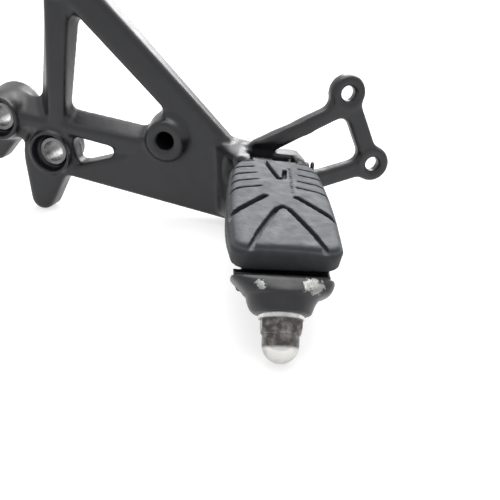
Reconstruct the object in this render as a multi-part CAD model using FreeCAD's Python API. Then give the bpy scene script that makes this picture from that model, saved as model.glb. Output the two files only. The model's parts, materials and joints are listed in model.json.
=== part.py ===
"""Left rearset bracket of a motorbike with its folding, sprung footpeg. Millimetres.

Frame: X runs rearward along the cast plate, -Y outboard, +Z up. The origin is the axis of the
lower frame bore, on the inboard face that seats against the frame.
"""
import FreeCAD, Part

import math
import os

from FreeCAD import Placement, Rotation, Vector

# Casting: depth of its bars, the mounting plane of its bosses, and its rounded front edges
PLATE_FRONT = -20.0
BAR_DEPTH = 11.0
WEB_DEPTH = 13.0
EDGE_ROUND = 2.6

# Bosses, as (x, z), and sizes
LOWER_BORE = (-2.3, 2.4)
FRONT_BORE = (-28.5, 19.0)
UPPER_BORE = (11.5, 86.0)
PEDAL_BORE = (59.6, 12.3)
FRAME_BOSS_R = 12.2
FRAME_BOSS_RIM_R = 11.5
FRAME_BOSS_PROUD = 3.0
RECESS_R = 9.2
RECESS_DEPTH = 6.0
RIM_ROUND = 1.0
COLLAR_R = 6.8
COLLAR_BORE_R = 5.2
COLLAR_PROUD = 0.8
PEDAL_BOSS_R = 9.6
PEDAL_BOSS_PROUD = 4.0
PEDAL_BOSS_BACK = -2.0
PEDAL_THREAD_R = 4.25
PEDAL_THREAD_DEPTH = 20.0

# Foot under the lower bore and the lug under the front bore
FOOT_TIP_R = 6.2
FOOT_TIP_X = -12.0
FOOT_DEPTH = 12.0
LUG_END = (-42.0, 0.0)
LUG_R = 7.0

# Rear loop that carries the heel guard
LOOP_ROOT = (116.0, -18.2)
LOOP_TURN_DEG = 24.0
LOOP_DEPTH = 6.5
LOOP_ROUND = 1.8
EYE_R = 8.6
EYE_HOLE_R = 3.5
UPPER_EYE = (30.4, 34.4)
LOWER_EYE = (45.0, 0.0)
LOOP_BAR_R = 4.4
UPPER_BAR_R = 3.7

# Footpeg joint: pin centre and how the peg leaves the plate
PIN_AT = Vector(112.0, -28.0, 0.2)
PEG_SWEEP_DEG = 14.0
PEG_CANT_DEG = 5.0
PEG_DROOP_DEG = 5.2
PIN_R = 4.0
PIN_RUN = 0.05
PIN_HEAD_R = 6.0
PIN_HEAD = 2.5
EAR_GAP = 20.0
EAR_WIDTH = 4.5
EAR_R = 9.5
EAR_FACE_BACK = 8.8
FIT = 0.3
FUSE_TOLERANCE = 0.01

# Footpeg arm
TONGUE_R = 8.0
TONGUE_WIDTH = 9.4
TRAY_WIDTH = 30.0
TRAY_THICK = 8.0
TRAY_TOP = 2.0
TREAD_START = -14.0
TREAD_END = -90.0

# Tread rubber
TREAD_WIDTH_TIP = 38.0
TREAD_WIDTH_ROOT = 36.0
TREAD_THICK = 11.8
TREAD_ROUND = 3.8
GROOVE_DEPTH = 1.8

# Bank sensor at the tip
SENSOR_TILT_DEG = 45.0
SENSOR_SEAT = (-97.0, -7.5)
SENSOR_X = -1.6
SENSOR_HEX = 13.0
SENSOR_HEX_LENGTH = 5.0
SENSOR_NECK_LENGTH = 3.0
DOME_R = 6.1
SENSOR_SHANK_R = 4.0
SENSOR_SHANK = 12.0
WASHER_THICK = 1.6
SENSOR_WASHER_R = 7.5
SENSOR_BOSS_R = 9.0
TIP_FLANGE_THICK = 6.5

# Return spring
WIRE_R = 0.9
SPRING_MEAN_R = 5.4
SPRING_TURNS = 3.25
SPRING_TURN_DEG = 18.0
SPRING_ARM_LEG = 14.5
SPRING_BLOCK_LEG = 8.4
SPRING_LEG_X = 1.1
SPRING_SIDE_GAP = 1.1

# The bracket is laid out from the plate's datum, then moved so that the lower bore is the origin
TO_ORIGIN = Vector(-LOWER_BORE[0], 0, -LOWER_BORE[1])

PEG = Placement(PIN_AT, Rotation(Vector(0, 0, 1), PEG_SWEEP_DEG)
                .multiply(Rotation(Vector(0, 1, 0), PEG_CANT_DEG))
                .multiply(Rotation(Vector(1, 0, 0), PEG_DROOP_DEG)))
CLEVIS = Placement(PIN_AT, Rotation(Vector(0, 0, 1), PEG_SWEEP_DEG)
                   .multiply(Rotation(Vector(0, 1, 0), PEG_CANT_DEG)))
LOOP = Placement(Vector(LOOP_ROOT[0], LOOP_ROOT[1], 0),
                 Rotation(Vector(0, 0, 1), LOOP_TURN_DEG))
SENSOR_DOWN = Vector(0, -math.sin(math.radians(SENSOR_TILT_DEG)),
                     -math.cos(math.radians(SENSOR_TILT_DEG)))
SENSOR_AT = Vector(SENSOR_X, SENSOR_SEAT[0], SENSOR_SEAT[1])
DOME_AT = SENSOR_AT + SENSOR_DOWN * (WASHER_THICK + SENSOR_HEX_LENGTH + SENSOR_NECK_LENGTH)
FLOOR_Z = PEG.multVec(DOME_AT).z - DOME_R


def capsule(start, end, start_r, end_r):
    """Flat face in the XZ plane that hulls two circles."""
    (ax, az), (bx, bz) = start, end
    length = math.hypot(bx - ax, bz - az)
    along = math.atan2(bz - az, bx - ax)
    lean = math.acos((start_r - end_r) / length)

    def rim(x, z, r, angle):
        return Vector(x + r * math.cos(angle), 0, z + r * math.sin(angle))

    a1, a2 = rim(ax, az, start_r, along + lean), rim(ax, az, start_r, along - lean)
    b1, b2 = rim(bx, bz, end_r, along + lean), rim(bx, bz, end_r, along - lean)
    edges = [Part.LineSegment(a2, b2).toShape(),
             Part.Arc(b2, rim(bx, bz, end_r, along), b1).toShape(),
             Part.LineSegment(b1, a1).toShape(),
             Part.Arc(a1, rim(ax, az, start_r, along + math.pi), a2).toShape()]
    return Part.Face(Part.Wire(edges))


def polygon(points):
    """Flat face in the XZ plane with straight sides."""
    corners = [Vector(x, 0, z) for x, z in points]
    return Part.Face(Part.makePolygon(corners + corners[:1]))


def disc(centre, radius):
    circle = Part.Circle(Vector(centre[0], 0, centre[1]), Vector(0, -1, 0), radius)
    return Part.Face(Part.Wire(circle.toShape()))


def united(faces):
    """One flat face at y = 0 that covers all the faces given."""
    slabs = [face.extrude(Vector(0, 1, 0)) for face in faces]
    whole = slabs[0].multiFuse(slabs[1:]).removeSplitter()
    fronts = [f for f in whole.Faces if abs(f.BoundBox.YMax) < 1e-4]
    return fronts[0]


def softened(face, inner, outer):
    """Rounds a face's inner corners, then its outer ones."""
    face = face.makeOffset2D(inner).makeOffset2D(-inner - outer).makeOffset2D(outer)
    return face.Faces[0]


def drum(centre, radius, y_from, y_to):
    return Part.makeCylinder(radius, y_to - y_from, Vector(centre[0], y_from, centre[1]), Vector(0, 1, 0))


def edges_on_front(shape, y):
    return [e for e in shape.Edges
            if abs(e.BoundBox.YMin - y) < 1e-4 and abs(e.BoundBox.YMax - y) < 1e-4]


def tapered(front_face, back_face, depth, edge_round):
    """Bar from a front outline to a back outline, with its front edges rounded."""
    front = front_face.OuterWire.copy()
    front.translate(Vector(0, PLATE_FRONT, 0))
    back = back_face.OuterWire.copy()
    back.translate(Vector(0, PLATE_FRONT + depth, 0))
    solid = Part.makeLoft([front, back], True, True)
    return solid.makeFillet(edge_round, edges_on_front(solid, PLATE_FRONT))


def strut():
    """Upright strut: narrow front face and a flank that spreads forward of the bike."""
    return tapered(capsule((2.7, 17), UPPER_BORE, 4.2, 5.5), capsule((-3.4, 17), UPPER_BORE, 8.4, 9.5),
                   BAR_DEPTH, EDGE_ROUND)


def diagonal():
    return tapered(capsule((83.5, 11), UPPER_BORE, 7.2, 7.5), capsule((82, 10), UPPER_BORE, 7.4, 8.0),
                   BAR_DEPTH, EDGE_ROUND)


def front_arm():
    """Arm from the front bore to the pedal boss: slim front face and a top that slopes up inboard."""
    outer = tapered(capsule((-26, 18.5), (3, 14.6), 3.6, 2.8), capsule((-26, 24), (3, 19.5), 8.2, 6.0),
                    BAR_DEPTH, 2.0)
    inner = tapered(capsule((1, 15.0), (50, 6.5), 2.8, 4.0), capsule((1, 19.8), (50, 9.5), 5.2, 6.5),
                    BAR_DEPTH, 2.0)
    return [outer, inner]


def web():
    """Flat panel under the pedal boss, down to the lower edge and rearward to the clevis."""
    def panel(grow):
        return softened(polygon([(3, -3), (9, -4 + grow), (38, 3.6 + grow), (47, 9), (58, 15), (80, 17),
                                 (88, 12.5), (98, 11), (101, 8), (101, FLOOR_Z + 1.5),
                                 (92, FLOOR_Z + 1.5), (8, -10.4 - grow), (0, -9)]), 2.0, 1.5)
    front = panel(0.0)
    front.translate(Vector(0, PLATE_FRONT, 0))
    solid = front.extrude(Vector(0, WEB_DEPTH, 0))
    return solid.makeFillet(EDGE_ROUND - 0.8, edges_on_front(solid, PLATE_FRONT))


def lower_boss():
    """Body round the lower bore with the foot that the bracket stands on off the bike."""
    x, z = LOWER_BORE
    body = tapered(capsule((x - 4, z - 2), LOWER_BORE, FRAME_BOSS_R, FRAME_BOSS_R),
                   capsule((x - 5, z - 2), LOWER_BORE, FRAME_BOSS_R, FRAME_BOSS_R), BAR_DEPTH, EDGE_ROUND)
    tip = (FOOT_TIP_X, FLOOR_Z + FOOT_TIP_R)
    lug = tapered(capsule((x - 4.5, z - 5), tip, 12.2, FOOT_TIP_R),
                  capsule((x - 4.5, z - 5), tip, 12.2, FOOT_TIP_R + 0.3), FOOT_DEPTH, EDGE_ROUND)
    return [body, lug]


def front_lug():
    """Plain rounded lug under the front bore, set back from the front faces."""
    solid = capsule(FRONT_BORE, LUG_END, FRAME_BOSS_R - 2, LUG_R).extrude(Vector(0, 10, 0))
    solid = solid.makeFillet(2.0, edges_on_front(solid, 0.0))
    solid.translate(Vector(0, -10, 0))
    return solid


def bosses():
    """Round bosses from the mounting plane to a little in front of the bars."""
    front = PLATE_FRONT - FRAME_BOSS_PROUD
    made = []
    for bore, back_r in ((LOWER_BORE, 9.2), (FRONT_BORE, 15.0), (UPPER_BORE, 12.5)):
        boss = Part.makeCone(FRAME_BOSS_RIM_R, back_r, -front, Vector(bore[0], front, bore[1]), Vector(0, 1, 0))
        made.append(boss.makeFillet(RIM_ROUND, edges_on_front(boss, front)))
    front = PLATE_FRONT - PEDAL_BOSS_PROUD
    pedal = Part.makeCone(PEDAL_BOSS_R + 3.5, PEDAL_BOSS_R, PEDAL_BOSS_PROUD + BAR_DEPTH,
                          Vector(PEDAL_BORE[0], PLATE_FRONT + BAR_DEPTH, PEDAL_BORE[1]), Vector(0, -1, 0))
    made.append(pedal.makeFillet(1.5, edges_on_front(pedal, front)))
    made.append(drum(PEDAL_BORE, PEDAL_BOSS_R, PLATE_FRONT + BAR_DEPTH - 1, PEDAL_BOSS_BACK))
    return made


def ramp():
    """Front face that comes forward from the panel to the clevis."""
    corners = [Vector(x, y, FLOOR_Z + 6) for x, y in
               ((83, PLATE_FRONT + 0.5), (97.5, -39.0), (101, -36), (98, -12), (82, -12))]
    solid = Part.Face(Part.makePolygon(corners + corners[:1])).extrude(Vector(0, 0, 35))
    return solid.makeFillet(2.0, [e for e in solid.Edges if e.BoundBox.YMin < PLATE_FRONT - 5])


def loop():
    """Bent-back loop with the two heel guard eyes, in its own plane."""
    outline = united([
        capsule((-12, 10.4), (31, 28.6), UPPER_BAR_R + 0.5, UPPER_BAR_R),
        capsule(UPPER_EYE, LOWER_EYE, LOOP_BAR_R, LOOP_BAR_R),
        capsule((-8, -12), (20, -6), 7, LOOP_BAR_R),
        capsule((20, -6), LOWER_EYE, LOOP_BAR_R, LOOP_BAR_R),
        polygon([(-16, 13), (-16, -18), (-8, -14), (-6, -4), (-6, 8)]),
        disc(UPPER_EYE, EYE_R),
        disc(LOWER_EYE, EYE_R),
    ])
    plate = softened(outline, 4.0, 2.0).extrude(Vector(0, LOOP_DEPTH, 0))
    plate = plate.makeFillet(LOOP_ROUND, edges_on_front(plate, 0.0))
    for eye in (UPPER_EYE, LOWER_EYE):
        plate = plate.cut(drum(eye, EYE_HOLE_R, -5, LOOP_DEPTH + 5))
    plate.Placement = LOOP
    return plate


def side_slab(outline, x_from, x_to):
    """Solid from an outline of (y, z) points or faces, between two x values."""
    corners = [Vector(x_from, y, z) for y, z in outline]
    face = Part.Face(Part.makePolygon(corners + corners[:1]))
    return face.extrude(Vector(x_to - x_from, 0, 0))


def ear(x_from, x_to):
    round_end = Part.makeCylinder(EAR_R, x_to - x_from, Vector(x_from, 0, 0), Vector(1, 0, 0))
    web = side_slab([(0, EAR_R), (EAR_FACE_BACK + 6, EAR_R - 2), (EAR_FACE_BACK + 6, -EAR_R - 8),
                     (0, -EAR_R)], x_from, x_to)
    return round_end.fuse(web).removeSplitter()


def clevis():
    """Block at the plate's rear end with the two ears for the footpeg's pin."""
    half = EAR_GAP / 2
    block = Part.makeBox(EAR_GAP + 2 * EAR_WIDTH, 12, 36,
                         Vector(-half - EAR_WIDTH, EAR_FACE_BACK, -28))
    block = block.makeFillet(3, [e for e in block.Edges if e.BoundBox.YLength > 10])
    shape = block.multiFuse([ear(-half - EAR_WIDTH, -half), ear(half, half + EAR_WIDTH)])
    shape = shape.removeSplitter()
    shape.Placement = CLEVIS
    return shape


def tongue_slot():
    """Room between the ears for the footpeg's tongue and the spring."""
    slot = Part.makeBox(EAR_GAP, 60, 60, Vector(-EAR_GAP / 2, EAR_FACE_BACK - 60, -48))
    slot.Placement = CLEVIS
    return slot


def head_room():
    """Way in for the pin from the front side, as wide as its head needs."""
    room = Part.makeCylinder(PIN_HEAD_R + 2 * FIT, 40, Vector(-EAR_GAP / 2 - EAR_WIDTH - 40, 0, 0), Vector(1, 0, 0))
    room.Placement = CLEVIS
    return room


def pin_hole():
    hole = Part.makeCylinder(PIN_R + PIN_RUN, EAR_GAP + 2 * EAR_WIDTH + 20,
                             Vector(-EAR_GAP / 2 - EAR_WIDTH - 10, 0, 0), Vector(1, 0, 0))
    hole.Placement = CLEVIS
    return hole


def step_holder():
    adds = [diagonal()] + front_arm() + [web()] + lower_boss() + [front_lug()] + bosses()
    adds += [ramp(), clevis(), loop()]
    shape = strut()
    for add in adds:
        shape = shape.fuse([add], FUSE_TOLERANCE)
    cuts = [tongue_slot(), pin_hole(), head_room()]
    pedal_front = PLATE_FRONT - PEDAL_BOSS_PROUD
    cuts.append(drum(PEDAL_BORE, PEDAL_THREAD_R, pedal_front - 1, pedal_front + PEDAL_THREAD_DEPTH))
    for bore in (LOWER_BORE, FRONT_BORE, UPPER_BORE):
        cuts.append(drum(bore, COLLAR_R, -60, 20))
        boss_front = PLATE_FRONT - FRAME_BOSS_PROUD
        cuts.append(drum(bore, RECESS_R, boss_front - 1, boss_front + RECESS_DEPTH))
    cuts.append(Part.makeBox(400, 200, 100, Vector(-200, -150, FLOOR_Z - 100)))
    for cut in cuts:
        shape = shape.cut(cut)
    return shape.Solids[0]


def collar(bore):
    """Steel collar that stands a little proud of the floor of its boss's bolt recess."""
    front = PLATE_FRONT - FRAME_BOSS_PROUD + RECESS_DEPTH - COLLAR_PROUD
    return drum(bore, COLLAR_R, front, 0).cut(drum(bore, COLLAR_BORE_R, front - 1, 1))


def pivot_pin():
    """Headed pin with a cross hole for the split pin at its other end."""
    half = EAR_GAP / 2 + EAR_WIDTH
    axis = Vector(1, 0, 0)
    pin = Part.makeCylinder(PIN_R, 2 * half + 6 + FIT, Vector(-half - FIT, 0, 0), axis)
    head = Part.makeCylinder(PIN_HEAD_R, PIN_HEAD, Vector(-half - FIT - PIN_HEAD, 0, 0), axis)
    cross = Part.makeCylinder(1.1, 4 * PIN_R, Vector(half + 3.6, 0, -2 * PIN_R), Vector(0, 0, 1))
    pin = pin.fuse(head).removeSplitter().cut(cross)
    pin.Placement = CLEVIS
    return pin


def pivot_washer():
    at = Vector(EAR_GAP / 2 + EAR_WIDTH + FIT, 0, 0)
    washer = Part.makeCylinder(7.5, 1.5, at, Vector(1, 0, 0))
    washer = washer.cut(Part.makeCylinder(PIN_R + 0.1, 3, at - Vector(1, 0, 0), Vector(1, 0, 0)))
    washer.Placement = CLEVIS
    return washer


def split_pin():
    """Two half legs through the pin, spread below it, with an eye on top."""
    at = Vector(EAR_GAP / 2 + EAR_WIDTH + 3.6, 0, 0)
    leg_r = 0.9
    shank = Part.makeCylinder(leg_r, 2 * PIN_R + 2, at + Vector(0, 0, -PIN_R - 1), Vector(0, 0, 1))
    eye = Part.makeTorus(1.3, leg_r * 0.8, at + Vector(0, 0, PIN_R + 2.0), Vector(1, 0, 0))
    shape = shank.fuse(eye)
    for side in (-1, 1):
        bend = Vector(0, side * 3.5, -3.5)
        leg = Part.makeCylinder(0.7 * leg_r, bend.Length, at + Vector(0, 0, -PIN_R - 0.8), bend)
        shape = shape.fuse(leg)
    shape = shape.removeSplitter()
    shape.Placement = CLEVIS
    return shape


def return_spring():
    """Torsion coil on the pin with one leg on the block and one on the arm."""
    right = EAR_GAP / 2 - WIRE_R - SPRING_SIDE_GAP
    pitch = 2 * WIRE_R + 0.15
    length = pitch * SPRING_TURNS
    helix = Part.makeHelix(pitch, length, SPRING_MEAN_R)
    helix.Placement = Placement(Vector(right - length, 0, 0), Rotation(Vector(1, 0, 0), -SPRING_TURN_DEG)
                                .multiply(Rotation(Vector(0, 0, 1), Vector(1, 0, 0))))
    first, last = helix.Edges[0], helix.Edges[-1]
    start = first.valueAt(first.FirstParameter)
    end = last.valueAt(last.LastParameter)
    start_way = first.tangentAt(first.FirstParameter)
    end_way = last.tangentAt(last.LastParameter)
    lead = Part.LineSegment(start - start_way * SPRING_ARM_LEG, start).toShape()
    tail = Part.LineSegment(end, end + end_way * SPRING_BLOCK_LEG).toShape()
    path = Part.Wire([lead] + helix.Edges + [tail])
    profile = Part.Wire(Part.Circle(start - start_way * SPRING_ARM_LEG, start_way, WIRE_R).toShape())
    spring = path.makePipeShell([profile], True, True)
    spring.Placement = CLEVIS
    return spring


def peg_arm():
    left = -EAR_GAP / 2 + FIT
    tongue = Part.makeCylinder(TONGUE_R, TONGUE_WIDTH, Vector(left, 0, 0), Vector(1, 0, 0))
    neck = side_slab([(0, TONGUE_R), (TREAD_START + 1, TRAY_TOP), (TREAD_START - 6, TRAY_TOP),
                      (TREAD_START - 6, TRAY_TOP - TRAY_THICK), (0, -TONGUE_R)],
                     left, left + TONGUE_WIDTH)
    half = TRAY_WIDTH / 2
    tray = Part.makeBox(TRAY_WIDTH, TREAD_START - TREAD_END - 4, TRAY_THICK,
                        Vector(-half, TREAD_END + 4, TRAY_TOP - TRAY_THICK))
    tray = tray.makeFillet(3, [e for e in tray.Edges
                               if e.BoundBox.ZMax < TRAY_TOP - 1 or e.BoundBox.ZLength > 5])
    shape = tongue.multiFuse([neck, tray, tip_flange()])
    bolts = [Part.makeCylinder(3.3, 30, Vector(0, y, -20)) for y in BOLTS_Y]
    seats = [Part.makeCylinder(7.0, 20, Vector(0, y, TRAY_TOP - TRAY_THICK - 18)) for y in BOLTS_Y]
    bore = Part.makeCylinder(PIN_R + PIN_RUN, 60, Vector(-30, 0, 0), Vector(1, 0, 0))
    turn = math.radians(SPRING_TURN_DEG + PEG_DROOP_DEG)
    leg_way = Vector(0, -math.cos(turn), math.sin(turn))
    leg_from = Vector(SPRING_LEG_X, -SPRING_MEAN_R * math.sin(turn), -SPRING_MEAN_R * math.cos(turn))
    leg_hole = Part.makeCylinder(WIRE_R + 0.6, 18, leg_from, leg_way)
    room = Part.makeBox(60, TREAD_START - TREAD_END + FIT, 40, Vector(-30, TREAD_END - FIT, TRAY_TOP))
    thread = Part.makeCylinder(SENSOR_SHANK_R, SENSOR_SHANK, SENSOR_AT, SENSOR_DOWN * -1)
    shape = shape.cut(bolts + seats + [bore, thread, leg_hole, room]).removeSplitter()
    shape.Placement = PEG
    return shape


def tip_section(width, height, centre, radius):
    """Rounded rectangle across the sensor's axis."""
    frame = Placement(centre, Rotation(Vector(0, 0, -1), SENSOR_DOWN))
    box = Part.makePlane(width, height, Vector(-width / 2, -height / 2, 0))
    ring = box.Wires[0]
    solid = box.extrude(Vector(0, 0, 1))
    solid = solid.makeFillet(radius, [e for e in solid.Edges if e.BoundBox.ZLength > 0.5])
    face = [f for f in solid.Faces if abs(f.BoundBox.ZMax) < 1e-5][0]
    wire = face.OuterWire.copy()
    wire.Placement = frame
    return wire


def tip_flange():
    """Flange under the rubber's end that draws in to the sensor's round boss."""
    back = SENSOR_AT - SENSOR_DOWN * 15
    middle = SENSOR_AT - SENSOR_DOWN * 8
    flange = Part.makeLoft([tip_section(33, 13, back, 5), tip_section(31, 15, middle, 5)], True, True)
    boss = Part.makeCone(11.0, SENSOR_BOSS_R, 9, middle - SENSOR_DOWN * 1, SENSOR_DOWN)
    return flange.fuse(boss)


BOLTS_Y = (-36.0, -70.0)


def groove(points, width):
    """Open channel along a line of (x, y) points, cut from the rubber's top."""
    top = TRAY_TOP + TREAD_THICK
    solids = []
    for (ax, ay), (bx, by) in zip(points, points[1:]):
        long = math.hypot(bx - ax, by - ay)
        box = Part.makeBox(long, width, 10, Vector(0, -width / 2, top - GROOVE_DEPTH))
        box.Placement = Placement(Vector(ax, ay, 0),
                                  Rotation(Vector(0, 0, 1), math.degrees(math.atan2(by - ay, bx - ax))))
        solids.append(box)
        solids.append(Part.makeCylinder(width / 2, 10, Vector(bx, by, top - GROOVE_DEPTH)))
    return solids


def tread_rubber():
    """Tread pad: chevron at the tip, slashes and fine ribs at the sides, wedge at the root."""
    base = TRAY_TOP + FIT / 3
    wide, slim = TREAD_WIDTH_TIP / 2, TREAD_WIDTH_ROOT / 2
    corners = [Vector(-wide, TREAD_END, base), Vector(wide, TREAD_END, base),
               Vector(slim, TREAD_START, base), Vector(-slim, TREAD_START, base)]
    pad = Part.Face(Part.makePolygon(corners + corners[:1])).extrude(Vector(0, 0, TREAD_THICK))
    pad = pad.makeFillet(6, [e for e in pad.Edges if e.BoundBox.ZLength > 5])
    pad = pad.makeFillet(TREAD_ROUND, [e for e in pad.Edges if e.BoundBox.ZMin > base + TREAD_THICK - 1e-4])
    cuts = groove([(-13.5, TREAD_END - 2), (-2.2, -63), (0, -60.5), (2.2, -63), (13.5, TREAD_END - 2)], 1.9)
    cuts += groove([(-19, -70), (-5.4, -52)], 2.3) + groove([(19, -70), (5.4, -52)], 2.3)
    cuts += groove([(-6.5, -10), (0.2, -35.5), (2.2, -35), (3.2, -27)], 1.6) + groove([(5.2, -24), (4.2, -49)], 0.7)
    for i in range(5):
        inner, outer = -17.5 - 6.4 * i, -19.5 - 7.8 * i
        for side in (-1, 1):
            cuts += groove([(side * (9.5 - 0.9 * i), inner), (side * 14, (2 * inner + outer) / 3),
                            (side * 20, outer)], 1.0)
    plate = tread_insert_solid()
    pad = pad.cut(cuts + [plate]).removeSplitter()
    pad.Placement = PEG
    return pad


def tread_insert_solid():
    return Part.makeBox(22, 56, 4, Vector(-11, -82, TRAY_TOP + FIT / 3))


def tread_insert():
    """Steel plate in the rubber's base with threaded holes for the bolts."""
    shape = tread_insert_solid().cut([Part.makeCylinder(3.0, 30, Vector(0, y, -20)) for y in BOLTS_Y])
    shape.Placement = PEG
    return shape


def tread_bolt(y):
    seat = TRAY_TOP - TRAY_THICK + 2
    shank = Part.makeCylinder(3.0, 4 + 3.6 + FIT / 3 + 1.5, Vector(0, y, seat - 1))
    head = hexagon(10.0, 4.0)
    head.translate(Vector(0, y, seat - 5.2))
    flange = Part.makeCylinder(6.5, 1.2, Vector(0, y, seat - 1.2))
    shape = shank.multiFuse([head, flange]).removeSplitter()
    shape.Placement = PEG
    return shape


def hexagon(across, height):
    r = across / math.sqrt(3)
    points = [Vector(r * math.cos(math.radians(60 * i)), r * math.sin(math.radians(60 * i)), 0)
              for i in range(6)]
    return Part.Face(Part.makePolygon(points + points[:1])).extrude(Vector(0, 0, height))


SENSOR = Placement(SENSOR_AT, Rotation(Vector(0, 0, 1), SENSOR_DOWN))


def bank_sensor():
    """Domed hexagon bolt: shank in the boss, hexagon, short neck and a ball end."""
    across = SENSOR_HEX
    hexa = hexagon(across, SENSOR_HEX_LENGTH)
    blunt = Part.makeCone(across / 2 + 2.1, across / 2 - 0.2, SENSOR_HEX_LENGTH * 1.05)
    blunt.rotate(Vector(0, 0, 0), Vector(0, 0, 1), 30)
    hexa.rotate(Vector(0, 0, 0), Vector(0, 0, 1), 90)
    hexa = hexa.common(blunt)
    hexa.translate(Vector(0, 0, WASHER_THICK))
    face = WASHER_THICK + SENSOR_HEX_LENGTH
    neck = Part.makeCylinder(DOME_R, SENSOR_NECK_LENGTH, Vector(0, 0, face))
    ball = Part.makeSphere(DOME_R, Vector(0, 0, face + SENSOR_NECK_LENGTH))
    shank = Part.makeCylinder(SENSOR_SHANK_R, SENSOR_SHANK - 1, Vector(0, 0, -SENSOR_SHANK + 2))
    shape = hexa.multiFuse([neck, ball, shank.fuse(Part.makeCylinder(SENSOR_SHANK_R, 4))])
    shape = shape.removeSplitter()
    shape.Placement = PEG.multiply(SENSOR)
    return shape


def bank_sensor_washer():
    shape = Part.makeCylinder(SENSOR_WASHER_R, WASHER_THICK)
    shape = shape.cut(Part.makeCylinder(SENSOR_SHANK_R + 0.2, 4, Vector(0, 0, -1)))
    shape.Placement = PEG.multiply(SENSOR)
    return shape


PIECES = {
    "step_holder": step_holder,
    "lower_frame_collar": lambda: collar(LOWER_BORE),
    "front_frame_collar": lambda: collar(FRONT_BORE),
    "upper_frame_collar": lambda: collar(UPPER_BORE),
    "pivot_pin": pivot_pin,
    "pivot_washer": pivot_washer,
    "split_pin": split_pin,
    "return_spring": return_spring,
    "peg_arm": peg_arm,
    "tread_rubber": tread_rubber,
    "tread_insert": tread_insert,
    "tread_bolt_inner": lambda: tread_bolt(BOLTS_Y[0]),
    "tread_bolt_outer": lambda: tread_bolt(BOLTS_Y[1]),
    "bank_sensor": bank_sensor,
    "bank_sensor_washer": bank_sensor_washer,
}

os.makedirs("parts", exist_ok=True)
for name, make in PIECES.items():
    solid = make()
    solid.translate(TO_ORIGIN)
    print(name, solid.ShapeType, len(solid.Solids), solid.isValid(), round(solid.Volume))
    solid.exportStep("parts/" + name + ".step")
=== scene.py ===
import json
import math

import bmesh
import bpy
from mathutils import Matrix, Vector, noise


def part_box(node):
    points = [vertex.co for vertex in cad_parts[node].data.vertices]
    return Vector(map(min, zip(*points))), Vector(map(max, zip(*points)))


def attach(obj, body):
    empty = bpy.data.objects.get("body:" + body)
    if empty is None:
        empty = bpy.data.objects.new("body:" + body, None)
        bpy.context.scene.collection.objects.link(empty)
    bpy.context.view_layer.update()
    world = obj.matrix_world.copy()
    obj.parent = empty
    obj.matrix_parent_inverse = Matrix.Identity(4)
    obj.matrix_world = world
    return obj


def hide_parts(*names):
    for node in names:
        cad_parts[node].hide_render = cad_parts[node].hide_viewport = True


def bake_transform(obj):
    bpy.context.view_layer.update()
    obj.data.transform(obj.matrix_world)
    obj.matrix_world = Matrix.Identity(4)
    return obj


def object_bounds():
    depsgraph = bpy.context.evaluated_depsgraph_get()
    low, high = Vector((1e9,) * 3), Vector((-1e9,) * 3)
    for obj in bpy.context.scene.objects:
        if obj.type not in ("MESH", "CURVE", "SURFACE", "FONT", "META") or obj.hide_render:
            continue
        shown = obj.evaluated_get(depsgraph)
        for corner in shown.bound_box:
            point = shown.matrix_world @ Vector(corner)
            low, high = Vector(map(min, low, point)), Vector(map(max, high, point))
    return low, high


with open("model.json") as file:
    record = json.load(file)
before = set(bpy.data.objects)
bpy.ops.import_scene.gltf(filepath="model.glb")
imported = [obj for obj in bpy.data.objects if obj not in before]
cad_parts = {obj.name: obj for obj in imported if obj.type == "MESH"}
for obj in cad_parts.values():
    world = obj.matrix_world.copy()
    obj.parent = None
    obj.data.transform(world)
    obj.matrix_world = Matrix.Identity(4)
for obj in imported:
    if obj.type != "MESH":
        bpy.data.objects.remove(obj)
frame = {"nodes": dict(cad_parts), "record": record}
cad_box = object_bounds()
nodes = frame["nodes"]
joint = frame["record"]["behaviour"]["joints"][0]
mounts = {mount["name"]: mount for mount in frame["record"]["mounts"]}
floor_z = cad_box[0][2]

# Camera in the part's own frame, with places in metres
CAMERA_AT = Vector((0.1595, -0.2879, floor_z + 0.115))
CAMERA_TURN = math.radians(12.0)
CAMERA_DOWN = math.radians(25.0)
CAMERA_NEAR = 0.01
LENS_MM = 43.2
SENSOR_MM = 36.0

# Floor, lamps and sky, in metres and watts
FLOOR_SIZE = 8
FLOOR_MIDDLE = (0.1, 1.0)
FLOOR_GAP = 0.0002
FLOOR_GLOW = 0.66
LAMPS_AIM = (0.1, -0.03, 0)
OVERHEAD_AT = (0.1, 0.15, 0.9)
OVERHEAD_SIZE = 0.7
OVERHEAD_WATTS = 6
WINDOW_AT = (0.25, 1.1, 0.75)
WINDOW_SIZE = 0.8
WINDOW_WATTS = 13
SKY_BRIGHT_SIDE = (0.0, 0.55, 0.83)
SKY_DIM_AT = -0.5
SKY_BRIGHT_AT = 0.75
SKY_DIM = 0.05
SKY_BRIGHT = 1.15

# Bodies, and the footpeg's own axes in millimetres: x along the pin, y towards the bracket, z up
BRACKET = "bracket"
FOOTPEG = "footpeg"
MM = 0.001
PIN = Vector(joint["pos_m"])
PEG_SWEEP = math.radians(14.0)
PEG_CANT = math.radians(5.0)
PEG_DROOP = math.radians(5.2)
CLEVIS = (Matrix.Translation(PIN) @ Matrix.Rotation(PEG_SWEEP, 4, "Z")
          @ Matrix.Rotation(PEG_CANT, 4, "Y") @ Matrix.Scale(MM, 4))
PEG = CLEVIS @ Matrix.Rotation(PEG_DROOP, 4, "X")

# Tread rubber as the solid has it, in millimetres along the footpeg's axes
TREAD_ROOT_Y = -14.0
TREAD_TIP_Y = -90.0
TREAD_BASE_Z = 2.1
TREAD_TOP_Z = 13.9
TREAD_ROOT_HALF = 18.0
TREAD_TIP_HALF = 19.0

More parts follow.
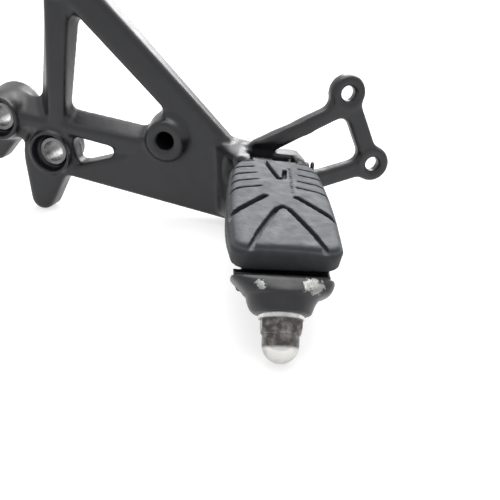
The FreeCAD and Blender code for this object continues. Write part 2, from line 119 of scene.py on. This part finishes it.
# Changes to the tread in millimetres, with places along it as shares from root to tip
TREAD_SHIFT_X = -0.9
BARREL_RISE = 8.1
BARREL_FALL = 7.4
ROOT_ROUND = 2.2
ROOT_ROUND_UNTIL = 0.16
END_TAPER = 0.055
END_TAPER_FROM = 0.6
END_LIFT = 3.0
END_LIFT_PER_MM = 0.03
END_LIFT_FROM = 0.72
GROOVE_DEEPER = 0.6
GROOVE_FROM = 0.3
GROOVE_FULL = 1.2
SIDE_FROM = 3.0
SIDE_FULL = 8.0
CROWN = 0.9
PATTERN_SHIFT_Y = 0.8
PATTERN_UNTIL = 0.9
BROAD_WEAR = 0.12
BROAD_WEAR_SCALE = 0.35
FINE_WEAR = 0.05
FINE_WEAR_SCALE = 1.6

# Tip of the arm, in millimetres along the footpeg's axes
SENSOR_AT = Vector((-1.6, -97.0, -7.5))
SENSOR_TILT = math.radians(45)
SENSOR_DOWN = Vector((0, -math.sin(SENSOR_TILT), -math.cos(SENSOR_TILT)))
SENSOR_OUT = Vector((0, SENSOR_DOWN.z, -SENSOR_DOWN.y))
TIP_CUT_Y = -87.5
BORE_R = 4.3
RING_POINTS = 96
RING_STEPS = 5

# Rings of the tip, from the hollow behind the lip to the sensor's seat: distance along the sensor's
# axis, middle and half of the width, back, front, and the power of the rounded square
TIP_RINGS = [
    (-9.6, -1.8, 12.0, -6.0, 3.0, 3.2),
    (-11.4, -1.8, 15.9, -7.6, 5.9, 3.6),
    (-11.6, -1.8, 17.0, -8.4, 7.0, 3.6),
    (-10.6, -1.5, 17.0, -8.6, 7.9, 3.6),
    (-9.0, -0.9, 16.0, -8.8, 8.6, 3.4),
    (-7.2, -0.5, 14.6, -9.2, 9.3, 3.0),
    (-6.2, -0.9, 13.5, -9.5, 9.5, 2.6),
    (-5.4, -1.4, 12.2, -9.6, 9.3, 2.3),
    (-3.6, -1.8, 11.3, -9.6, 9.2, 2.1),
    (-1.6, -1.8, 10.5, -9.4, 9.2, 2.0),
    (-0.4, -1.6, 9.7, -9.0, 9.1, 2.0),
    (0.0, -1.6, 8.9, -8.6, 8.7, 2.0),
]

# Mesh steps, and the casting's inside fillet, in metres
WELD = 1e-6
RUBBER_VOXEL = 0.38 * MM
ARM_VOXEL = 0.5 * MM
HOLDER_VOXEL = 0.8 * MM
FILLET = 2.4 * MM

# What the fillet leaves as it is, in metres: reach around each bore and around the pin
COLLARS = ("lower_frame_collar", "front_frame_collar", "upper_frame_collar")
COLLAR_KEEP_R = 0.0105
PEDAL_KEEP_R = 0.0060
EYE_KEEP_R = 0.0050
KEEP_EASE = 0.002
CLEVIS_KEEP_R = 0.022
CLEVIS_FREE_R = 0.030
EYE_HALF_STEP = Vector((0.006669, 0.002969, -0.0172))

# Pedal boss: its place along y in metres, and radii in millimetres before and after it is slimmed
BOSS_FROM_Y = -0.0275
BOSS_HOLE_R = 5.2
BOSS_R = 11.0
BOSS_NEW_R = 8.6
BOSS_REACH_R = 15.0

# Colours
CASTING_DARK = (0.007, 0.0075, 0.01)
CASTING_LIGHT = (0.014, 0.0145, 0.018)
BARE_METAL = (0.3, 0.3, 0.295)
RUBBER_SPECK = (0.03, 0.032, 0.036)
RUBBER_PLAIN = (0.022, 0.024, 0.028)
# Paler rubber for the painted sheen on faces that look up
RUBBER_SHEEN = (0.085, 0.091, 0.102)
STAINLESS = (0.6, 0.595, 0.58)
# Patches of the painted dark reflection on the sensor's hexagon and neck
REFLECTION_DARK = (0.07, 0.066, 0.064)
REFLECTION_LIGHT = (0.2, 0.185, 0.18)
ZINC = (0.2, 0.2, 0.2)
DARK_STEEL = (0.06, 0.06, 0.062)
SPRING_WIRE = (0.12, 0.12, 0.12)
FLOOR_MIDDLE_GREY = (0.45, 0.45, 0.45)
FLOOR_DARK = (0.44, 0.44, 0.44)
FLOOR_LIGHT = (0.46, 0.46, 0.46)

# Marks: scuffs on the flange along the footpeg's axes in millimetres, their reach in metres, and
# where the sensor's hexagon and neck get a painted dark reflection, in metres from its seat
SCUFF_AT = Vector((7.4, -96.7, 5.0))
SCUFF_REACH = 0.0058
SCRATCH_AT = Vector((-9.6, -97.4, 4.6))
SCRATCH_REACH = 0.0031
HEXAGON_START = (0.0012, 0.0018)
HEXAGON_END = (0.0102, 0.0112)
# Direction of the faces that get the rubber's painted sheen
SHEEN_SIDE = (-0.05, 0.1, 0.99)


def smooth_step(low, high, value):
    """0 below low, 1 above high, with an eased slope between."""
    t = min(max((value - low) / (high - low), 0.0), 1.0)
    return t * t * (3 - 2 * t)


def between(low, high, share):
    return low + (high - low) * share


class Shader:
    """A material with one Principled shader and helpers to add procedural detail to it."""

    def __init__(self, name, color, roughness, metallic=0.0, specular=0.5):
        self.material = bpy.data.materials.new(name)
        self.material.use_nodes = True
        self.tree = self.material.node_tree
        self.main = self.tree.nodes["Principled BSDF"]
        self.main.inputs["Base Color"].default_value = (*color, 1)
        self.main.inputs["Roughness"].default_value = roughness
        self.main.inputs["Metallic"].default_value = metallic
        self.main.inputs["Specular IOR Level"].default_value = specular
        self.place = self.tree.nodes.new("ShaderNodeTexCoord").outputs["Object"]

    def link(self, source, target):
        self.tree.links.new(source, target)

    def feed(self, value, socket):
        """Links a socket's value, or writes a number or colour to it."""
        if isinstance(value, tuple):
            socket.default_value = (*value, 1)
        elif isinstance(value, (int, float)):
            socket.default_value = value
        else:
            self.link(value, socket)

    def noise(self, scale, detail=3.0, roughness=0.55):
        made = self.tree.nodes.new("ShaderNodeTexNoise")
        made.inputs["Scale"].default_value = scale
        made.inputs["Detail"].default_value = detail
        made.inputs["Roughness"].default_value = roughness
        self.link(self.place, made.inputs["Vector"])
        return made.outputs["Fac"]

    def ramp(self, source, low, high, out_low=0.0, out_high=1.0):
        made = self.tree.nodes.new("ShaderNodeMapRange")
        made.inputs["From Min"].default_value = low
        made.inputs["From Max"].default_value = high
        made.inputs["To Min"].default_value = out_low
        made.inputs["To Max"].default_value = out_high
        self.link(source, made.inputs["Value"])
        return made.outputs["Result"]

    def calc(self, operation, first, second):
        made = self.tree.nodes.new("ShaderNodeMath")
        made.operation = operation
        self.feed(first, made.inputs[0])
        self.feed(second, made.inputs[1])
        return made.outputs["Value"]

    def compare(self, operation, source, vector):
        """Number that a vector operation gives for a socket and a fixed vector."""
        made = self.tree.nodes.new("ShaderNodeVectorMath")
        made.operation = operation
        self.link(source, made.inputs[0])
        made.inputs[1].default_value = vector
        return made.outputs["Value"]

    def facing(self, direction):
        """How far the surface faces a direction of the part's frame, from -1 to 1."""
        normal = self.tree.nodes.new("ShaderNodeNewGeometry").outputs["Normal"]
        return self.compare("DOT_PRODUCT", normal, direction)

    def spot(self, centre, reach):
        """1 at a point of the part's frame, falling to 0 at a reach from it."""
        return self.ramp(self.compare("DISTANCE", self.place, centre), 0.0, reach, 1.0, 0.0)

    def mix_color(self, mask, first, second):
        made = self.tree.nodes.new("ShaderNodeMix")
        made.data_type = "RGBA"
        self.link(mask, made.inputs["Factor"])
        self.feed(first, made.inputs[6])
        self.feed(second, made.inputs[7])
        return made.outputs[2]

    def bump(self, height, strength, distance):
        """Adds relief to the surface, over any that it has."""
        made = self.tree.nodes.new("ShaderNodeBump")
        made.inputs["Strength"].default_value = strength
        made.inputs["Distance"].default_value = distance
        self.link(height, made.inputs["Height"])
        previous = self.main.inputs["Normal"].links
        if previous:
            self.link(previous[0].from_socket, made.inputs["Normal"])
        self.link(made.outputs["Normal"], self.main.inputs["Normal"])

    def set(self, socket, source):
        self.link(source, self.main.inputs[socket])

    def base_color(self):
        """What feeds the base colour so far."""
        return self.main.inputs["Base Color"].links[0].from_socket


def coated_casting(name):
    """Satin black coat over a slightly grainy casting."""
    shader = Shader(name, CASTING_DARK, 0.36, specular=0.5)
    broad = shader.ramp(shader.noise(45, 4), 0.35, 0.7)
    shader.set("Base Color", shader.mix_color(broad, CASTING_DARK, CASTING_LIGHT))
    shader.set("Roughness", shader.ramp(shader.noise(160, 5), 0.3, 0.7, 0.29, 0.42))
    shader.bump(shader.noise(900, 4), 0.3, 0.00012)
    shader.bump(shader.noise(160, 2), 0.2, 0.0004)
    return shader


def scuffed_casting(name):
    """The same coat, rubbed through to bare metal at the footpeg's tip."""
    shader = coated_casting(name)
    patch = shader.spot(PEG @ SCUFF_AT, SCUFF_REACH)
    scratch = shader.spot(PEG @ SCRATCH_AT, SCRATCH_REACH)
    grain = shader.noise(700, 5, 0.7)
    ragged = shader.ramp(grain, 0.3, 0.7, -0.45, 0.25)
    worn = shader.calc("ADD", shader.calc("MAXIMUM", patch, scratch), ragged)
    worn = shader.ramp(worn, 0.3, 0.42)
    shader.set("Base Color", shader.mix_color(worn, shader.base_color(), BARE_METAL))
    shader.set("Metallic", worn)
    shader.bump(shader.calc("MULTIPLY", grain, worn), 0.6, 0.0004)
    return shader


def rubber():
    """Moulded rubber with a painted sheen that makes its upper faces paler, and small worn specks."""
    shader = Shader("tread_rubber", RUBBER_SPECK, 0.62, specular=0.4)
    # Painted sheen: faces that look up are painted paler where light from above falls, mottled by noise
    upward = shader.ramp(shader.facing(SHEEN_SIDE), 0.35, 0.95)
    painted_sheen = shader.calc("MULTIPLY", upward, shader.ramp(shader.noise(90, 6), 0.25, 0.7, 0.55, 1.0))
    base = shader.mix_color(painted_sheen, RUBBER_PLAIN, RUBBER_SHEEN)
    specks = shader.ramp(shader.noise(620, 3), 0.66, 0.74)
    shader.set("Base Color", shader.mix_color(specks, base, RUBBER_SPECK))
    shader.set("Roughness", shader.ramp(shader.noise(220, 4), 0.3, 0.7, 0.52, 0.74))
    shader.bump(shader.noise(1100, 3), 0.35, 0.0002)
    shader.bump(shader.noise(260, 4), 0.3, 0.0004)
    return shader


def steel(name, color, roughness):
    """Bare or plated steel with duller, stained patches."""
    shader = Shader(name, color, roughness, metallic=1.0)
    stain = shader.ramp(shader.noise(180, 5), 0.45, 0.75)
    dull = tuple(c * 0.55 for c in color)
    shader.set("Base Color", shader.mix_color(stain, color, dull))
    shader.set("Roughness", shader.ramp(shader.noise(500, 4), 0.3, 0.7, roughness * 0.8, roughness * 1.3))
    shader.bump(shader.noise(1200, 2), 0.15, 0.0001)
    return shader


def sensor_steel():
    """Turned stainless steel, with a painted dark reflection over the hexagon and neck above the brighter
    dome.
    """
    shader = steel("stainless", STAINLESS, 0.2)
    axis = (PEG.to_3x3() @ SENSOR_DOWN).normalized()
    seat = PEG @ SENSOR_AT
    height = shader.calc("SUBTRACT", shader.compare("DOT_PRODUCT", shader.place, axis), seat.dot(axis))
    # Painted dark reflection: the hexagon and the neck below it get a dark, mottled colour
    started = shader.ramp(height, *HEXAGON_START)
    not_ended = shader.ramp(height, *HEXAGON_END, 1.0, 0.0)
    hexagon = shader.calc("MULTIPLY", started, not_ended)
    patches = shader.ramp(shader.noise(420, 4), 0.4, 0.65)
    painted_reflection = shader.mix_color(patches, REFLECTION_DARK, REFLECTION_LIGHT)
    shader.set("Base Color", shader.mix_color(hexagon, shader.base_color(), painted_reflection))
    return shader


casting = coated_casting("black_casting")
arm_coat = scuffed_casting("arm_casting")
tread = rubber()
stainless = sensor_steel()
zinc = steel("zinc_plate", ZINC, 0.42)
dark_steel = steel("dark_steel", DARK_STEEL, 0.45)
wire = steel("spring_wire", SPRING_WIRE, 0.4)

MATERIALS = {
    "step_holder": casting,
    "peg_arm": arm_coat,
    "tread_rubber": tread,
    "bank_sensor": stainless,
    "bank_sensor_washer": stainless,
    "return_spring": wire,
    "pivot_pin": dark_steel,
    "pivot_washer": dark_steel,
    "split_pin": dark_steel,
}
for name, piece in nodes.items():
    piece.data.materials.clear()
    piece.data.materials.append(MATERIALS.get(name, zinc).material)


def welded_copy(node, name):
    """New object with a node's mesh, its doubled points joined."""
    mesh = nodes[node].data.copy()
    edit = bmesh.new()
    edit.from_mesh(mesh)
    bmesh.ops.remove_doubles(edit, verts=edit.verts, dist=WELD)
    edit.to_mesh(mesh)
    edit.free()
    made = bpy.data.objects.new(name, mesh)
    bpy.context.scene.collection.objects.link(made)
    return made


def smooth_faces(mesh):
    for face in mesh.polygons:
        face.use_smooth = True


def remeshed(piece, voxel, rounds):
    """Gives a piece an even mesh over its form, with its edges eased."""
    remesh = piece.modifiers.new("even", "REMESH")
    remesh.mode = "VOXEL"
    remesh.voxel_size = voxel
    ease = piece.modifiers.new("ease", "SMOOTH")
    ease.iterations = rounds
    ease.factor = 0.5
    bpy.context.view_layer.update()
    evaluated = piece.evaluated_get(bpy.context.evaluated_depsgraph_get())
    mesh = bpy.data.meshes.new_from_object(evaluated)
    piece.modifiers.clear()
    piece.data = mesh
    smooth_faces(mesh)
    return piece


def reshaped(piece, move):
    """Moves each point by a rule written in the footpeg's millimetre axes."""
    back = PEG.inverted()
    for point in piece.data.vertices:
        point.co = PEG @ move(back @ point.co)
    piece.data.update()


def coloured(piece, shader):
    piece.data.materials.clear()
    piece.data.materials.append(shader.material)


def dressed(piece, node, body, shader):
    """Puts a piece in a node's place on a body."""
    coloured(piece, shader)
    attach(piece, body)
    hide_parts(node)


def swell_tread(p):
    """Barrel-shaped sides, crowned top, deeper grooves and an end that lifts off the arm's lip."""
    t = (p.y - TREAD_ROOT_Y) / (TREAD_TIP_Y - TREAD_ROOT_Y)
    sunk = TREAD_TOP_Z - p.z
    depth = sunk / (TREAD_TOP_Z - TREAD_BASE_Z)
    old_half = between(TREAD_ROOT_HALF, TREAD_TIP_HALF, t)
    half = TREAD_ROOT_HALF + BARREL_RISE * t - BARREL_FALL * t * t
    half -= ROOT_ROUND * (1 - smooth_step(0.0, ROOT_ROUND_UNTIL, t))
    x = TREAD_SHIFT_X + p.x * half / old_half
    x *= 1 - END_TAPER * depth * smooth_step(END_TAPER_FROM, 1.0, t)
    lift = (END_LIFT + END_LIFT_PER_MM * p.x) * smooth_step(END_LIFT_FROM, 1.0, t) * depth
    in_groove = smooth_step(GROOVE_FROM, GROOVE_FULL, sunk) * (1 - smooth_step(SIDE_FROM, SIDE_FULL, sunk))
    lift -= GROOVE_DEEPER * in_groove
    crown = CROWN * (p.x / TREAD_TIP_HALF) ** 2 * (1 - depth)
    wear = BROAD_WEAR * noise.noise(p * BROAD_WEAR_SCALE) + FINE_WEAR * noise.noise(p * FINE_WEAR_SCALE)
    shift = PATTERN_SHIFT_Y if t < PATTERN_UNTIL else 0.0
    return Vector((x, p.y + shift * (1 - depth), p.z + lift - crown + wear * (1 - depth)))


def curve_through(rows, steps):
    """Rows of numbers with steps between them on a smooth curve through all rows."""
    made = []
    for i in range(len(rows) - 1):
        a, b, c, d = (rows[min(max(i + k, 0), len(rows) - 1)] for k in (-1, 0, 1, 2))
        for step in range(steps):
            u = step / steps
            made.append(tuple(
                0.5 * (2 * q + (r - p) * u + (2 * p - 5 * q + 4 * r - s) * u * u
                       + (3 * q - p - 3 * r + s) * u ** 3)
                for p, q, r, s in zip(a, b, c, d)))
    made.append(rows[-1])
    return made


def ring_points(along, middle, half, back, front, square):
    """Points of one rounded square ring, in the footpeg's millimetre axes."""
    axis = SENSOR_AT + SENSOR_DOWN * along + SENSOR_OUT * (back + front) / 2
    for i in range(RING_POINTS):
        turn = 2 * math.pi * i / RING_POINTS
        c = math.cos(turn)
        s = math.sin(turn)
        across = math.copysign(abs(c) ** (2 / square), c) * half
        out = math.copysign(abs(s) ** (2 / square), s) * (front - back) / 2
        yield Vector((middle + across, axis.y, axis.z)) + SENSOR_OUT * out


def add_tip(piece):
    """Cuts the arm's plain tip off and lofts the lipped flange and the neck in its place."""
    edit = bmesh.new()
    edit.from_mesh(piece.data)
    edit.transform(PEG.inverted())
    everything = edit.verts[:] + edit.edges[:] + edit.faces[:]
    bmesh.ops.bisect_plane(edit, geom=everything, plane_co=(0, TIP_CUT_Y, 0), plane_no=(0, -1, 0),
                           clear_outer=True)
    bmesh.ops.holes_fill(edit, edges=[e for e in edit.edges if e.is_boundary])
    rows = curve_through(TIP_RINGS, RING_STEPS)
    rings = [[edit.verts.new(p) for p in ring_points(*row)] for row in rows]
    for upper, lower in zip(rings, rings[1:]):
        for i in range(RING_POINTS):
            k = (i + 1) % RING_POINTS
            edit.faces.new((upper[i], upper[k], lower[k], lower[i]))
    edit.faces.new(rings[0])
    edit.faces.new(rings[-1])
    bmesh.ops.recalc_face_normals(edit, faces=edit.faces)
    for face in edit.faces:
        face.smooth = True
    edit.transform(PEG)
    edit.to_mesh(piece.data)
    edit.free()


def clear_bore(p):
    """Keeps the arm's bore clear of the pin, which lies along the footpeg's x axis."""
    r = math.hypot(p.y, p.z)
    if 0 < r < BORE_R:
        return Vector((p.x, p.y * BORE_R / r, p.z * BORE_R / r))
    return p


def bore_axes():
    """Middle, axis and reach in metres of each bore of the casting that keeps its size."""
    for name in COLLARS:
        low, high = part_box(name)
        yield (Vector(low) + Vector(high)) / 2, Vector((0, 1, 0)), COLLAR_KEEP_R
    pedal = mounts["pedal_pivot"]
    yield Vector(pedal["pos_m"]), Vector(pedal["axis"]), PEDAL_KEEP_R
    eyes = mounts["heel_guard_eyes"]
    for side in (-1, 1):
        yield Vector(eyes["pos_m"]) + EYE_HALF_STEP * side, Vector(eyes["axis"]), EYE_KEEP_R


def offset(piece, amount):
    """Moves a casting's faces outwards, but not at its bores or its clevis."""
    bores = list(bore_axes())
    normals = [point.normal.copy() for point in piece.data.vertices]
    for point, normal in zip(piece.data.vertices, normals):
        share = smooth_step(CLEVIS_KEEP_R, CLEVIS_FREE_R, (point.co - PIN).length)
        for middle, axis, reach in bores:
            away = point.co - middle
            share *= smooth_step(reach, reach + KEEP_EASE, (away - axis * away.dot(axis)).length)
        point.co += normal * (amount * share)
    piece.data.update()


def slim_radius(r):
    """New distance from the pedal boss's axis, in millimetres."""
    if r < BOSS_R:
        return between(BOSS_HOLE_R, BOSS_NEW_R, (r - BOSS_HOLE_R) / (BOSS_R - BOSS_HOLE_R))
    return between(BOSS_NEW_R, BOSS_REACH_R, (r - BOSS_R) / (BOSS_REACH_R - BOSS_R))


def slim_boss(piece):
    """Draws the pedal boss in around its hole."""
    pivot = mounts["pedal_pivot"]["pos_m"]
    for point in piece.data.vertices:
        x = point.co.x - pivot[0]
        z = point.co.z - pivot[2]
        r = math.hypot(x, z) / MM
        if point.co.y < BOSS_FROM_Y and BOSS_HOLE_R < r < BOSS_REACH_R:
            share = slim_radius(r) / r
            point.co.x = pivot[0] + x * share
            point.co.z = pivot[2] + z * share
    piece.data.update()


rubber_piece = remeshed(welded_copy("tread_rubber", "moulded_tread"), RUBBER_VOXEL, 3)
reshaped(rubber_piece, swell_tread)
dressed(rubber_piece, "tread_rubber", FOOTPEG, tread)

arm_piece = remeshed(welded_copy("peg_arm", "footpeg_casting"), ARM_VOXEL, 4)
add_tip(arm_piece)
reshaped(arm_piece, clear_bore)
dressed(arm_piece, "peg_arm", FOOTPEG, arm_coat)

# Growing the casting, joining what meets and shrinking it again leaves a fillet in each inside corner
holder_piece = remeshed(welded_copy("step_holder", "cast_holder"), HOLDER_VOXEL, 1)
offset(holder_piece, FILLET)
remeshed(holder_piece, HOLDER_VOXEL, 1)
offset(holder_piece, -FILLET)
remeshed(holder_piece, HOLDER_VOXEL, 6)
slim_boss(holder_piece)
dressed(holder_piece, "step_holder", BRACKET, casting)

coil = welded_copy("return_spring", "torsion_coil")
smooth_faces(coil.data)
coloured(coil, wire)
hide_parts("return_spring")
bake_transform(coil)


def pale_floor():
    """White table that keeps the object's shadow and reads as white to the camera."""
    bpy.ops.mesh.primitive_plane_add(size=FLOOR_SIZE, location=(*FLOOR_MIDDLE, floor_z - FLOOR_GAP))
    floor = bpy.context.object
    floor.name = "floor"
    shader = Shader("floor_white", FLOOR_MIDDLE_GREY, 0.6, specular=0.1)
    shader.set("Base Color", shader.mix_color(shader.noise(3, 2), FLOOR_DARK, FLOOR_LIGHT))
    path = shader.tree.nodes.new("ShaderNodeLightPath")
    seen = shader.calc("MAXIMUM", path.outputs["Is Camera Ray"], path.outputs["Is Glossy Ray"])
    seen = shader.calc("MAXIMUM", seen, path.outputs["Is Transmission Ray"])
    shader.main.inputs["Emission Color"].default_value = (1, 1, 1, 1)
    shader.set("Emission Strength", shader.calc("MULTIPLY", seen, FLOOR_GLOW))
    floor.data.materials.append(shader.material)


def white_world():
    """White to the camera and in reflections; its light is bright overhead and behind, dim in front."""
    world = bpy.data.worlds.new("studio")
    bpy.context.scene.world = world
    world.use_nodes = True
    tree = world.node_tree
    back = tree.nodes["Background"]
    path = tree.nodes.new("ShaderNodeLightPath")
    place = tree.nodes.new("ShaderNodeTexCoord")
    lean = tree.nodes.new("ShaderNodeVectorMath")
    lean.operation = "DOT_PRODUCT"
    lean.inputs[1].default_value = SKY_BRIGHT_SIDE
    tree.links.new(place.outputs["Generated"], lean.inputs[0])
    level = tree.nodes.new("ShaderNodeMapRange")
    level.inputs["From Min"].default_value = SKY_DIM_AT
    level.inputs["From Max"].default_value = SKY_BRIGHT_AT
    level.inputs["To Min"].default_value = SKY_DIM
    level.inputs["To Max"].default_value = SKY_BRIGHT
    tree.links.new(lean.outputs["Value"], level.inputs["Value"])
    strength = level.outputs["Result"]
    for ray in ("Is Camera Ray", "Is Glossy Ray", "Is Transmission Ray"):
        seen = tree.nodes.new("ShaderNodeMath")
        seen.operation = "MAXIMUM"
        tree.links.new(path.outputs[ray], seen.inputs[0])
        tree.links.new(strength, seen.inputs[1])
        strength = seen.outputs["Value"]
    tree.links.new(strength, back.inputs["Strength"])
    back.inputs["Color"].default_value = (1, 1, 1, 1)


def soft_lamp(name, at, size, watts):
    """Square lamp that faces the object."""
    lamp = bpy.data.lights.new(name, "AREA")
    lamp.size = size
    lamp.energy = watts
    holder = bpy.data.objects.new(name, lamp)
    bpy.context.scene.collection.objects.link(holder)
    holder.location = at
    holder.rotation_euler = (Vector(LAMPS_AIM) - Vector(at)).to_track_quat("-Z", "Y").to_euler()


def add_camera():
    data = bpy.data.cameras.new("photo_camera")
    data.lens = LENS_MM
    data.sensor_width = SENSOR_MM
    data.clip_start = CAMERA_NEAR
    camera = bpy.data.objects.new("photo_camera", data)
    bpy.context.scene.collection.objects.link(camera)
    camera.location = CAMERA_AT
    camera.rotation_euler = (math.pi / 2 - CAMERA_DOWN, 0, CAMERA_TURN)
    bpy.context.scene.camera = camera


pale_floor()
white_world()
soft_lamp("overhead", OVERHEAD_AT, OVERHEAD_SIZE, OVERHEAD_WATTS)
soft_lamp("window", WINDOW_AT, WINDOW_SIZE, WINDOW_WATTS)
add_camera()
bpy.context.scene.view_settings.view_transform = "Standard"
